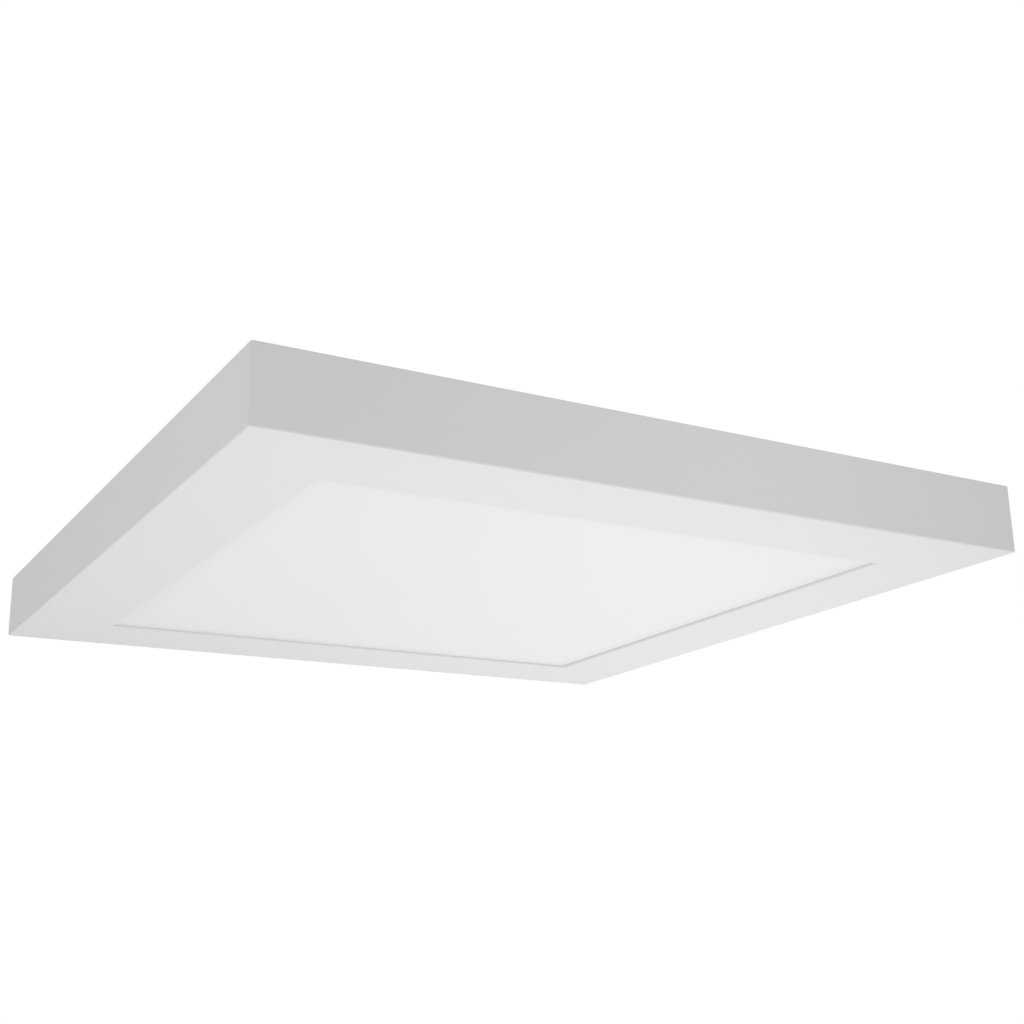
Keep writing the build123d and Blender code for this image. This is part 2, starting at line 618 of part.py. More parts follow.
with BuildPart() as driver_lid:
    with BuildSketch(driver_plane.offset(DRIVER_SPLIT)):
        RectangleRounded(DRIVER_LENGTH, DRIVER_WIDTH, DRIVER_CORNER_R)
    extrude(amount=DRIVER_HEIGHT - DRIVER_SPLIT)
    fillet(driver_lid.faces().sort_by(Axis.Z)[-1].edges(), DRIVER_EDGE_R)
    chamfer(driver_lid.faces().sort_by(Axis.Z)[0].edges(), DRIVER_SEAM)
    with BuildSketch(driver_plane.offset(DRIVER_HEIGHT)):
        RectangleRounded(DRIVER_LENGTH - 2 * LABEL_MARGIN, DRIVER_WIDTH - 2 * LABEL_MARGIN, LABEL_R)
    extrude(amount=-LABEL_DEPTH, mode=Mode.SUBTRACT)
    with BuildSketch(driver_plane.offset(DRIVER_SPLIT)):
        RectangleRounded(inner_length, inner_width, inner_r)
    extrude(amount=DRIVER_HEIGHT - DRIVER_SPLIT - DRIVER_LID_THICKNESS, mode=Mode.SUBTRACT)
    with BuildSketch(driver_plane.offset(DRIVER_SPLIT - TONGUE_DEPTH)):
        RectangleRounded(inner_length - 2 * TONGUE_CLEARANCE, inner_width - 2 * TONGUE_CLEARANCE, inner_r)
        RectangleRounded(
            inner_length - 2 * (TONGUE_CLEARANCE + TONGUE_WALL),
            inner_width - 2 * (TONGUE_CLEARANCE + TONGUE_WALL),
            inner_r,
            mode=Mode.SUBTRACT,
        )
    extrude(amount=DRIVER_HEIGHT - DRIVER_LID_THICKNESS - DRIVER_SPLIT + TONGUE_DEPTH)
finish(driver_lid, "driver_lid")


# Driver electronics, standing on the circuit board
circuit_plane = Plane((DRIVER_X, DRIVER_Y, CIRCUIT_TOP))
with BuildPart() as driver_board:
    with BuildSketch(circuit_plane):
        Rectangle(inner_length - 2 * CIRCUIT_CLEARANCE, inner_width - 2 * CIRCUIT_CLEARANCE)
    extrude(amount=-CIRCUIT_THICKNESS)
finish(driver_board, "driver_board")

window_y = (CORE_LEG + CORE_WINDOW_WIDTH) / 2
winding_plane = circuit_plane.offset(WINDING_BUILD)
with BuildPart() as transformer_core:
    with BuildSketch(winding_plane):
        with Locations((TRANSFORMER_X, 0)):
            Rectangle(CORE_LENGTH, CORE_WIDTH)
        with Locations((TRANSFORMER_X, -window_y), (TRANSFORMER_X, window_y)):
            Rectangle(CORE_WINDOW_LENGTH, CORE_WINDOW_WIDTH, mode=Mode.SUBTRACT)
    extrude(amount=CORE_HEIGHT)
finish(transformer_core, "transformer_core")

winding_length = CORE_WINDOW_LENGTH - 2 * WINDING_CLEARANCE
winding_width = CORE_LEG + 2 * (CORE_WINDOW_WIDTH - WINDING_CLEARANCE)
with BuildPart(circuit_plane) as transformer_winding:
    with Locations((TRANSFORMER_X, 0, 0)):
        Box(winding_length, winding_width, CORE_HEIGHT + 2 * WINDING_BUILD, align=BASE)
    with Locations((TRANSFORMER_X, 0, WINDING_BUILD)):
        Box(CORE_LENGTH, CORE_LEG, CORE_HEIGHT, align=BASE, mode=Mode.SUBTRACT)
finish(transformer_winding, "transformer_winding")

with BuildPart(circuit_plane) as driver_capacitors:
    with Locations((BULK_CAPACITOR_X, 0, BULK_CAPACITOR_R + SEAT_LIFT)):
        Cylinder(BULK_CAPACITOR_R, BULK_CAPACITOR_LENGTH, rotation=(90, 0, 0))
    with Locations((END_PART_X, -SIDE_PART_Y, OUTPUT_CAPACITOR_R + SEAT_LIFT)):
        Cylinder(OUTPUT_CAPACITOR_R, OUTPUT_CAPACITOR_LENGTH, rotation=(0, 90, 0))
finish(driver_capacitors, "driver_capacitors")

with BuildPart(circuit_plane) as driver_inductor:
    with Locations((INDUCTOR_X, SIDE_PART_Y, 0)):
        Cylinder(INDUCTOR_R, INDUCTOR_FLANGE, align=BASE)
        Cylinder(INDUCTOR_WAIST_R, INDUCTOR_HEIGHT, align=BASE)
    with Locations((INDUCTOR_X, SIDE_PART_Y, INDUCTOR_HEIGHT)):
        Cylinder(INDUCTOR_R, INDUCTOR_FLANGE, align=HUNG)
finish(driver_inductor, "driver_inductor")

with BuildPart(circuit_plane) as driver_chips:
    with Locations(
        (-END_PART_X, SIDE_PART_Y, 0), (INDUCTOR_X, -SIDE_PART_Y, 0), (END_PART_X, SIDE_PART_Y, 0)
    ):
        Box(CHIP_PACK_LENGTH, CHIP_PACK_WIDTH, CHIP_PACK_HEIGHT, align=BASE)
finish(driver_chips, "driver_chips")

with BuildPart(circuit_plane) as driver_fuse:
    with Locations((-END_PART_X, -SIDE_PART_Y, FUSE_R + SEAT_LIFT)):
        Cylinder(FUSE_R, FUSE_LENGTH, rotation=(0, 90, 0))
finish(driver_fuse, "driver_fuse")


# Supply terminal: body with fixing tabs, grooves between poles, wire channels with funnels, and button wells
terminal_plane = Plane((TERMINAL_X, TERMINAL_Y, FIELD_TOP))
well_depth = BUTTON_HEIGHT - BUTTON_PROUD + BUTTON_TRAVEL + BUTTON_STOP
with BuildPart(terminal_plane) as terminal_block:
    Box(TERMINAL_LENGTH, TERMINAL_WIDTH, TERMINAL_HEIGHT, align=BASE)
    fillet(terminal_block.edges().filter_by(Axis.Z), TERMINAL_EDGE_R)
    fillet(terminal_block.faces().sort_by(Axis.Z)[-1].edges(), TERMINAL_EDGE_R)
    with Locations(*[(0, y, TERMINAL_HEIGHT) for y in pole_joins]):
        Box(TERMINAL_LENGTH, POLE_GROOVE_WIDTH, POLE_GROOVE_DEPTH, align=HUNG, mode=Mode.SUBTRACT)
    with BuildSketch(terminal_plane):
        SlotOverall(TERMINAL_WIDTH + 2 * TAB_LENGTH, TAB_WIDTH, rotation=90)
    extrude(amount=TAB_THICKNESS)
    with Locations((0, -TAB_SCREW_Y, TAB_THICKNESS), (0, TAB_SCREW_Y, TAB_THICKNESS)):
        Hole(SCREW_R + HOLE_CLEARANCE, TAB_THICKNESS)
    with Locations(*[(0, y, CHANNEL_FLOOR) for y in pole_offsets]):
        Box(2 * TERMINAL_LENGTH, CHANNEL_SIDE, CHANNEL_SIDE, align=BASE, mode=Mode.SUBTRACT)
    with Locations(*[(-BUTTON_SHIFT, y, TERMINAL_HEIGHT) for y in pole_offsets]):
        Box(
            BUTTON_LENGTH + 2 * BUTTON_CLEARANCE,
            BUTTON_WIDTH + 2 * BUTTON_CLEARANCE,
            well_depth,
            align=HUNG,
            mode=Mode.SUBTRACT,
        )
    entry_plane = Plane(
        (TERMINAL_X - TERMINAL_LENGTH / 2, TERMINAL_Y, CHANNEL_Z + CHANNEL_SIDE / 2), (0, 1, 0), (1, 0, 0)
    )
    with BuildSketch(entry_plane):
        with Locations(*[(y, 0) for y in pole_offsets]):
            Rectangle(FUNNEL_SIDE, FUNNEL_SIDE)
    extrude(amount=FUNNEL_DEPTH, taper=FUNNEL_TAPER, mode=Mode.SUBTRACT)
finish(terminal_block, "terminal_block")


# Contact strips and leaf springs in the wire channels
with BuildPart(terminal_plane) as terminal_contacts:
    with Locations(*[(0, y, CHANNEL_FLOOR) for y in pole_offsets]):
        Box(CONTACT_LENGTH, CONTACT_WIDTH, CONTACT_THICKNESS, align=BASE)
finish(terminal_contacts, "terminal_contacts")

leaf_z = CONTACT_TOP + LEAF_THICKNESS / 2
leaf_end_z = BUTTON_BOTTOM - LEAF_GAP - LEAF_THICKNESS / 2
with BuildPart() as terminal_springs:
    for pole_y in pole_offsets:
        with BuildSketch(Plane.XZ.offset(-TERMINAL_Y - pole_y)):
            with BuildLine() as leaf:
                FilletPolyline(
                    (BUTTON_X + LEAF_FOOT / 2, leaf_z),
                    (BUTTON_X - LEAF_FOOT / 2, leaf_z),
                    (BUTTON_X, leaf_end_z),
                    radius=LEAF_R,
                )
            trace(leaf.line, LEAF_THICKNESS)
        extrude(amount=CONTACT_WIDTH / 2, both=True)
finish(terminal_springs, "terminal_springs")


# Release buttons, one for each pole, with a slot for a screwdriver
def release_button(pole_y):
    """A button that stands proud of its well."""
    button_plane = Plane((BUTTON_X, TERMINAL_Y + pole_y, BUTTON_BOTTOM))
    with BuildPart(button_plane) as button:
        Box(BUTTON_LENGTH, BUTTON_WIDTH, BUTTON_HEIGHT, align=BASE)
        fillet(button.edges().group_by(Axis.Z)[-1], BUTTON_EDGE_R)
        with Locations((0, 0, BUTTON_HEIGHT)):
            Box(BUTTON_LENGTH / 2, BUTTON_SLOT_WIDTH, 2 * BUTTON_SLOT_DEPTH, mode=Mode.SUBTRACT)
    return button


for pole_y, pole_name in zip(pole_offsets, ("live", "earth", "neutral")):
    finish(release_button(pole_y), f"button_{pole_name}")


# Leads
def bend_radii(points):
    """For each corner of a route, the widest bend that the runs beside it leave room for."""
    runs = [Vector(*end) - Vector(*start) for start, end in zip(points, points[1:])]
    return [
        BEND_SHARE * min(before.length, after.length) / tan(radians(before.get_angle(after) / 2))
        for before, after in zip(runs, runs[1:])
    ]


def lead(points, wire_r):
    """A round lead along a route with widely rounded corners."""
    with BuildPart() as wire:
        with BuildLine() as route:
            FilletPolyline(*points, radius=bend_radii(points))
        with BuildSketch(Plane(route.line @ 0, z_dir=route.line % 0)):
            Circle(wire_r)
        sweep(path=route.line)
    return wire


terminal_face = TERMINAL_X + TERMINAL_LENGTH / 2
terminal_lead_z = CONTACT_TOP + SUPPLY_LEAD_R + SEAT_LIFT
driver_start = DRIVER_X - DRIVER_LENGTH / 2
driver_end = DRIVER_X + DRIVER_LENGTH / 2


def supply_lead(pole_y, side):
    """A lead from one pole of the terminal to a port of the driver, bowed outward on the back plate."""
    third = (driver_start - terminal_face) / 3
    pole = TERMINAL_Y + pole_y
    port = DRIVER_Y + side * PORT_OFFSET
    bow = side * SUPPLY_LEAD_BOW
    plate_lead_z = FIELD_TOP + SUPPLY_LEAD_R + LEAD_LIFT
    points = [
        (terminal_face - TERMINAL_REACH, pole, terminal_lead_z),
        (terminal_face + SUPPLY_LEAD_STRAIGHT, pole, terminal_lead_z),
        (terminal_face + third, pole + bow, plate_lead_z),
        (driver_start - third, port + bow, plate_lead_z),
        (driver_start - SUPPLY_LEAD_STRAIGHT, port, SUPPLY_PORT_Z),
        (driver_start + PORT_REACH, port, SUPPLY_PORT_Z),
    ]
    return lead(points, SUPPLY_LEAD_R)


finish(supply_lead(pole_offsets[0], -1), "live_lead")
finish(supply_lead(pole_offsets[-1], 1), "neutral_lead")

barrel_z = FIELD_TOP + SUPPLY_LEAD_R + LUG_BARREL_WALL + SEAT_LIFT
barrel_end = LUG_X - LUG_BARREL_DISTANCE
earth_points = [
    (terminal_face - TERMINAL_REACH, TERMINAL_Y, terminal_lead_z),
    (terminal_face + SUPPLY_LEAD_STRAIGHT / 2, TERMINAL_Y, terminal_lead_z),
    (barrel_end - LUG_BARREL_LENGTH - SUPPLY_LEAD_STRAIGHT / 2, TERMINAL_Y, barrel_z),
    (barrel_end, TERMINAL_Y, barrel_z),
]
finish(lead(earth_points, SUPPLY_LEAD_R), "earth_lead")

with BuildPart() as earth_lug:
    with BuildSketch(Plane.XY.offset(FIELD_TOP)):
        with Locations((LUG_X, TERMINAL_Y)):
            Circle(LUG_R)
        with Locations(((LUG_X + barrel_end) / 2, TERMINAL_Y)):
            Rectangle(LUG_BARREL_DISTANCE, 2 * (SUPPLY_LEAD_R + LUG_BARREL_WALL))
        with Locations((LUG_X, TERMINAL_Y)):
            Circle(EARTH_SCREW_R + HOLE_CLEARANCE, mode=Mode.SUBTRACT)
    extrude(amount=LUG_THICKNESS)
    with BuildSketch(Plane((barrel_end, TERMINAL_Y, barrel_z), (0, 1, 0), (-1, 0, 0))):
        Circle(SUPPLY_LEAD_R + LUG_BARREL_WALL)
    extrude(amount=LUG_BARREL_LENGTH)
    with BuildSketch(Plane((barrel_end, TERMINAL_Y, barrel_z), (0, 1, 0), (-1, 0, 0))):
        Circle(SUPPLY_LEAD_R)
    extrude(amount=LUG_BARREL_LENGTH, mode=Mode.SUBTRACT)
finish(earth_lug, "earth_lug")

field_lead_z = FIELD_TOP + LED_LEAD_R + LEAD_LIFT
sag_x = (FIELD_HALF + LED_LEAD_TURN_X) / 2


def led_lead(lead_y):
    """A lead from the driver, over the back plate and round its edge, into the light chamber."""
    points = [
        (driver_end - PORT_REACH, lead_y, LED_PORT_Z),
        (driver_end + LED_LEAD_STRAIGHT, lead_y, LED_PORT_Z),
        (FIELD_HALF, lead_y, field_lead_z),
        (sag_x, lead_y, field_lead_z - LED_LEAD_SAG),
        (LED_LEAD_TURN_X, lead_y, field_lead_z),
        (LED_LEAD_TURN_X, lead_y, LED_Z),
        (BOARD_BACK, lead_y, LED_Z),
    ]
    return lead(points, LED_LEAD_R)


finish(led_lead(LED_LEAD_Y - LED_LEAD_PITCH / 2), "led_lead_negative")
finish(led_lead(LED_LEAD_Y + LED_LEAD_PITCH / 2), "led_lead_positive")


# Rubber edge guard on the back plate, where the LED leads turn round it
guard_plane = Plane((PAN_SIDE / 2 - GUARD_COVER, LED_LEAD_Y, RIB_TOP - GUARD_WALL))
with BuildPart(guard_plane) as edge_guard:
    with BuildSketch(guard_plane):
        Rectangle(GUARD_COVER + GUARD_WALL, GUARD_LENGTH, align=(Align.MIN, Align.CENTER))
    extrude(amount=PAN_THICKNESS + 2 * GUARD_WALL)
    with BuildSketch(guard_plane.offset(GUARD_WALL)):
        Rectangle(GUARD_COVER, GUARD_LENGTH, align=(Align.MIN, Align.CENTER))
    extrude(amount=PAN_THICKNESS, mode=Mode.SUBTRACT)
finish(edge_guard, "edge_guard")
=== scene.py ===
import json
from math import radians

import bmesh
import bpy
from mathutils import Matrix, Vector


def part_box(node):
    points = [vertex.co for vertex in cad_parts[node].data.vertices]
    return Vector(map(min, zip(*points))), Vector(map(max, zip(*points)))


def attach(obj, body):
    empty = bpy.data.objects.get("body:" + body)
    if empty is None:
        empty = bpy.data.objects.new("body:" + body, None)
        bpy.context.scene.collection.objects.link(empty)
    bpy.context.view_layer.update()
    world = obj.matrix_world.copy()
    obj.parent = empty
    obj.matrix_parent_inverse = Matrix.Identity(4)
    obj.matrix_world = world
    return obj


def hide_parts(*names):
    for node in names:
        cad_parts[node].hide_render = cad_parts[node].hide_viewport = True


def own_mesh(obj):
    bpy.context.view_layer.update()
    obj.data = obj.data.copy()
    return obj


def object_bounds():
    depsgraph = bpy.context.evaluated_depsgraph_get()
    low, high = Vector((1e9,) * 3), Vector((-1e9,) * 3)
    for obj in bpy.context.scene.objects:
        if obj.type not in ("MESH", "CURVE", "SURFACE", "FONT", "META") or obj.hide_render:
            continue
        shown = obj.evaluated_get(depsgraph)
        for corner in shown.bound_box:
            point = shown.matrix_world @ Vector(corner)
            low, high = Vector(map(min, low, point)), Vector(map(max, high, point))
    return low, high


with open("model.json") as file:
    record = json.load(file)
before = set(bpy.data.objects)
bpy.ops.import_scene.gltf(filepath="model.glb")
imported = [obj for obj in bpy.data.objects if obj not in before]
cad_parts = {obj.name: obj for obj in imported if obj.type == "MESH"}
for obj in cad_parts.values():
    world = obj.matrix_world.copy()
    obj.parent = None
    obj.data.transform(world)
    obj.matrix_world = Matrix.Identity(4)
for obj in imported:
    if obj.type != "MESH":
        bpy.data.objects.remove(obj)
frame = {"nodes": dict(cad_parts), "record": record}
cad_low, cad_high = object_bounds()

# Camera, from below the fixture's near corner, in metres, degrees, millimetres and picture widths
CAMERA_PLACE = (-0.28213, -0.52260, -0.16931)
CAMERA_TURN = (106.786, 1.232, -30.477)
CAMERA_LENS = 52.80
CAMERA_SHIFT = -0.02

# Floor and world, in metres and as shares of full white
FLOOR_DROP = 1.2
FLOOR_HALF = 15.0
FLOOR_SHADE = 0.85
FLOOR_GLOW = 0.45
WORLD_LIGHT = 0.664
FULL_WHITE = (1.0, 1.0, 1.0, 1.0)

# Lamps, in metres, degrees and watts
KEY_PLACE = (0.07, -0.01, -0.43)
KEY_TURN = (180.0, 0.0, 45.0)
KEY_SIZE = (1.2, 0.2)
KEY_POWER = 1.38
FILL_SIZE = (0.08, 0.016)
LEFT_FILL_PLACE = (-0.33, -0.11, -0.013)
LEFT_FILL_TURN = (90.0, 0.0, -90.0)
LEFT_FILL_POWER = 0.022
RIGHT_FILL_PLACE = (0.03, -0.32, -0.013)
RIGHT_FILL_TURN = (90.0, 0.0, 0.0)
RIGHT_FILL_POWER = 0.032

# Colours, as linear red, green and blue
COAT_WHITE = (0.778, 0.778, 0.764)
OPAL_WHITE = (0.833, 0.833, 0.826)
FILM_WHITE = (0.86, 0.86, 0.86)
BOARD_WHITE = (0.80, 0.80, 0.77)
CLEAR_TINT = (0.93, 0.97, 0.98)
PHOSPHOR_YELLOW = (0.85, 0.60, 0.10)
TAPE_GREY = (0.42, 0.42, 0.40)
FILM_AMBER = (0.45, 0.16, 0.02)
STEEL_GREY = (0.57, 0.58, 0.59)
ZINC_LIGHT = (0.66, 0.67, 0.69)
SPRING_GREY = (0.36, 0.37, 0.39)
ALUMINIUM_LIGHT = (0.74, 0.74, 0.75)
EARTH_GREEN = (0.02, 0.20, 0.05)
DRIVER_WHITE = (0.66, 0.66, 0.63)
TERMINAL_GREY = (0.52, 0.53, 0.53)
BUTTON_ORANGE = (0.78, 0.18, 0.015)
MASK_GREEN = (0.010, 0.075, 0.025)
FERRITE_BLACK = (0.016, 0.016, 0.017)
WINDING_YELLOW = (0.70, 0.46, 0.03)
SLEEVE_BLACK = (0.010, 0.010, 0.014)
EPOXY_BLACK = (0.012, 0.012, 0.012)
FUSE_BEIGE = (0.50, 0.38, 0.22)
BRASS_YELLOW = (0.68, 0.46, 0.16)
LEAD_BLACK = (0.012, 0.012, 0.012)
LEAD_WHITE = (0.74, 0.74, 0.71)
LEAD_GREEN = (0.015, 0.16, 0.035)
LEAD_RED = (0.34, 0.012, 0.010)
TIN_GREY = (0.64, 0.64, 0.62)
RUBBER_BLACK = (0.014, 0.014, 0.014)

# Index of refraction of clear acrylic
ACRYLIC_IOR = 1.49

# Width of the frame's rim and the reach of the shade painted on the diffuser beside it, in metres
RIM_WIDTH = 0.036
PAINTED_SHADE_REACH = 0.009

# Share of the diffuser's colour that is left in that painted shade, and the faint random drift towards it
# farther in
PAINTED_RIM_SHADE = 0.96
RIM_SHADE_DRIFT = 0.25

# Depth of the bumps in moulded plastics, in metres
SMOOTH_MOULD = 0.00001
FINE_MOULD = 0.00002
MATT_MOULD = 0.00003
COARSE_MOULD = 0.00004

# The values that a noise mostly takes, and the whole span from 0 to 1
NOISE_SPAN = (0.3, 0.7)
WHOLE_SPAN = (0.0, 1.0)

# How a pattern is stretched: evenly, or into lines along an axis
EVEN = (1.0, 1.0, 1.0)
ALONG_X = (0.05, 1.0, 1.0)
ALONG_Y = (1.0, 0.05, 1.0)
JACKET_SHADE_LINES = (0.2, 1.0, 1.0)
JACKET_DRAW_LINES = (0.15, 1.0, 1.0)


def new_material(name, roughness, metallic=0.0):
    """A material with its node tree and its Principled shader."""
    made = bpy.data.materials.new(name)
    made.use_nodes = True
    shader = made.node_tree.nodes["Principled BSDF"]
    shader.inputs["Roughness"].default_value = roughness
    shader.inputs["Metallic"].default_value = metallic
    return made, made.node_tree, shader


def place_vector(tree, stretch):
    """The object's own metres, stretched along its axes."""
    place = tree.nodes.new("ShaderNodeTexCoord")
    mapping = tree.nodes.new("ShaderNodeMapping")
    mapping.inputs["Scale"].default_value = stretch
    tree.links.new(place.outputs["Object"], mapping.inputs["Vector"])
    return mapping.outputs["Vector"]


def noise(tree, scale, detail=3.0, stretch=EVEN):
    """Noise with that many features in a metre."""
    texture = tree.nodes.new("ShaderNodeTexNoise")
    texture.inputs["Scale"].default_value = scale
    texture.inputs["Detail"].default_value = detail
    tree.links.new(place_vector(tree, stretch), texture.inputs["Vector"])
    return texture.outputs["Fac"]


def cells(tree, scale):
    """A random grey for each cell of a crystal pattern, with that many cells in a metre."""
    texture = tree.nodes.new("ShaderNodeTexVoronoi")
    texture.inputs["Scale"].default_value = scale
    tree.links.new(place_vector(tree, EVEN), texture.inputs["Vector"])
    grey = tree.nodes.new("ShaderNodeSeparateColor")
    tree.links.new(texture.outputs["Color"], grey.inputs["Color"])
    return grey.outputs["Red"]


def tint(tree, shader, factor, colour, dark, light, span=NOISE_SPAN):
    """Base colour that wanders between a dark and a light share of one colour."""
    ramp = tree.nodes.new("ShaderNodeValToRGB")
    for stop, position, share in zip(ramp.color_ramp.elements, span, (dark, light)):
        stop.position = position
        stop.color = [min(1.0, channel * share) for channel in colour] + [1.0]
    tree.links.new(factor, ramp.inputs["Fac"])
    tree.links.new(ramp.outputs["Color"], shader.inputs["Base Color"])


def gloss(tree, shader, factor, low, high, span=NOISE_SPAN):
    """Roughness that wanders between two values."""
    spread = tree.nodes.new("ShaderNodeMapRange")
    spread.inputs["From Min"].default_value = span[0]
    spread.inputs["From Max"].default_value = span[1]
    spread.inputs["To Min"].default_value = low
    spread.inputs["To Max"].default_value = high
    tree.links.new(factor, spread.inputs["Value"])
    tree.links.new(spread.outputs["Result"], shader.inputs["Roughness"])


def grain(tree, shader, factor, depth):
    """Bumps of that depth in metres."""
    bump = tree.nodes.new("ShaderNodeBump")
    bump.inputs["Strength"].default_value = 1.0
    bump.inputs["Distance"].default_value = depth
    tree.links.new(factor, bump.inputs["Height"])
    tree.links.new(bump.outputs["Normal"], shader.inputs["Normal"])


def powder_coat(name, colour):
    """White powder coat: a fine orange peel and a slight drift of shade."""
    made, tree, shader = new_material(name, roughness=0.5)
    tint(tree, shader, noise(tree, scale=9.0), colour, dark=0.985, light=1.0)
    gloss(tree, shader, noise(tree, scale=900.0), low=0.46, high=0.58)
    grain(tree, shader, noise(tree, scale=1400.0, detail=2.0), depth=0.00003)
    return made


def satin_face(tree, shader, rough):
    """The gloss and the grain of a satin plastic sheet."""
    gloss(tree, shader, noise(tree, scale=2500.0), low=rough - 0.05, high=rough + 0.07)
    grain(tree, shader, noise(tree, scale=3000.0, detail=2.0), depth=0.000006)


def opal_sheet(name, colour, rough):
    """White or tinted plastic with a satin face."""
    made, tree, shader = new_material(name, rough)
    tint(tree, shader, noise(tree, scale=14.0), colour, dark=0.99, light=1.0)
    satin_face(tree, shader, rough)
    return made


def rim_distance(tree):
    """How far in from the rim a point of the diffuser lies: 0 at the rim, 1 past the reach of the shade
    painted beside it.
    """
    place = tree.nodes.new("ShaderNodeTexCoord")
    split = tree.nodes.new("ShaderNodeSeparateXYZ")
    tree.links.new(place.outputs["Object"], split.inputs["Vector"])
    widest = tree.nodes.new("ShaderNodeMath")
    widest.operation = "MAXIMUM"
    for axis, socket in zip("XY", widest.inputs):
        size = tree.nodes.new("ShaderNodeMath")
        size.operation = "ABSOLUTE"
        tree.links.new(split.outputs[axis], size.inputs[0])
        tree.links.new(size.outputs["Value"], socket)
    spread = tree.nodes.new("ShaderNodeMapRange")
    spread.interpolation_type = "SMOOTHSTEP"
    spread.inputs["From Min"].default_value = cad_high.x - RIM_WIDTH
    spread.inputs["From Max"].default_value = cad_high.x - RIM_WIDTH - PAINTED_SHADE_REACH
    tree.links.new(widest.outputs["Value"], spread.inputs["Value"])
    return spread.outputs["Result"]


def opal_diffuser(name, colour, rough):
    """Opal acrylic with a satin face, and shade painted into its colour beside the rim, where the lip
    shades it.
    """
    made, tree, shader = new_material(name, rough)
    # Painted shade: the base colour darkens to a share of itself near the rim, where the rim's lip shades
    # the diffuser; a faint noise adds random tone farther in
    clear_of_painted_shade = tree.nodes.new("ShaderNodeMath")
    clear_of_painted_shade.operation = "MULTIPLY_ADD"
    tree.links.new(noise(tree, scale=14.0), clear_of_painted_shade.inputs[0])
    clear_of_painted_shade.inputs[1].default_value = -RIM_SHADE_DRIFT
    tree.links.new(rim_distance(tree), clear_of_painted_shade.inputs[2])
    tint(tree, shader, clear_of_painted_shade.outputs["Value"], colour, dark=PAINTED_RIM_SHADE, light=1.0, span=WHOLE_SPAN)
    satin_face(tree, shader, rough)
    return made


def clear_sheet(name, colour):
    """Clear acrylic with a fine pattern of frosted dots."""
    made, tree, shader = new_material(name, roughness=0.06)
    shader.inputs["Transmission Weight"].default_value = 1.0
    shader.inputs["IOR"].default_value = ACRYLIC_IOR
    tint(tree, shader, noise(tree, scale=20.0), colour, dark=0.98, light=1.0)
    gloss(tree, shader, cells(tree, scale=500.0), low=0.03, high=0.35, span=WHOLE_SPAN)
    return made


def spangled_steel(name, colour):
    """Galvanised sheet: small crystals of zinc that differ in shade and in sheen."""
    made, tree, shader = new_material(name, roughness=0.42, metallic=1.0)
    spangle = cells(tree, scale=320.0)
    tint(tree, shader, spangle, colour, dark=0.94, light=1.04, span=WHOLE_SPAN)
    gloss(tree, shader, spangle, low=0.40, high=0.47, span=WHOLE_SPAN)
    grain(tree, shader, noise(tree, scale=600.0), depth=0.00002)
    return made


def drawn_metal(name, colour, stretch, rough):
    """Metal with fine lines along the way that it was rolled or turned."""
    made, tree, shader = new_material(name, rough, metallic=1.0)
    tint(tree, shader, noise(tree, scale=300.0, detail=4.0, stretch=stretch), colour, dark=0.86, light=1.08)
    gloss(tree, shader, noise(tree, scale=500.0, stretch=stretch), low=rough - 0.08, high=rough + 0.1)
    grain(tree, shader, noise(tree, scale=900.0, stretch=stretch), depth=0.00001)
    return made


def moulded_plastic(name, colour, rough, depth):
    """Moulded plastic with a spark-eroded texture."""
    made, tree, shader = new_material(name, rough)
    tint(tree, shader, noise(tree, scale=40.0), colour, dark=0.98, light=1.01)
    gloss(tree, shader, noise(tree, scale=800.0), low=rough - 0.07, high=rough + 0.08)
    grain(tree, shader, noise(tree, scale=1600.0, detail=2.0), depth)
    return made


def lead_jacket(name, colour):
    """Soft vinyl with faint draw lines along the lead."""
    made, tree, shader = new_material(name, roughness=0.38)
    tint(tree, shader, noise(tree, scale=120.0, stretch=JACKET_SHADE_LINES), colour, dark=0.85, light=1.1)
    gloss(tree, shader, noise(tree, scale=900.0), low=0.32, high=0.46)
    grain(tree, shader, noise(tree, scale=1500.0, detail=2.0, stretch=JACKET_DRAW_LINES), depth=0.00001)
    return made


def coated_screw(name, colour):
    """A screw with a thin coloured plating."""
    made, tree, shader = new_material(name, roughness=0.4, metallic=0.6)
    tint(tree, shader, noise(tree, scale=400.0), colour, dark=0.8, light=1.2)
    gloss(tree, shader, noise(tree, scale=900.0), low=0.3, high=0.5)
    grain(tree, shader, noise(tree, scale=1500.0), depth=0.000015)
    return made


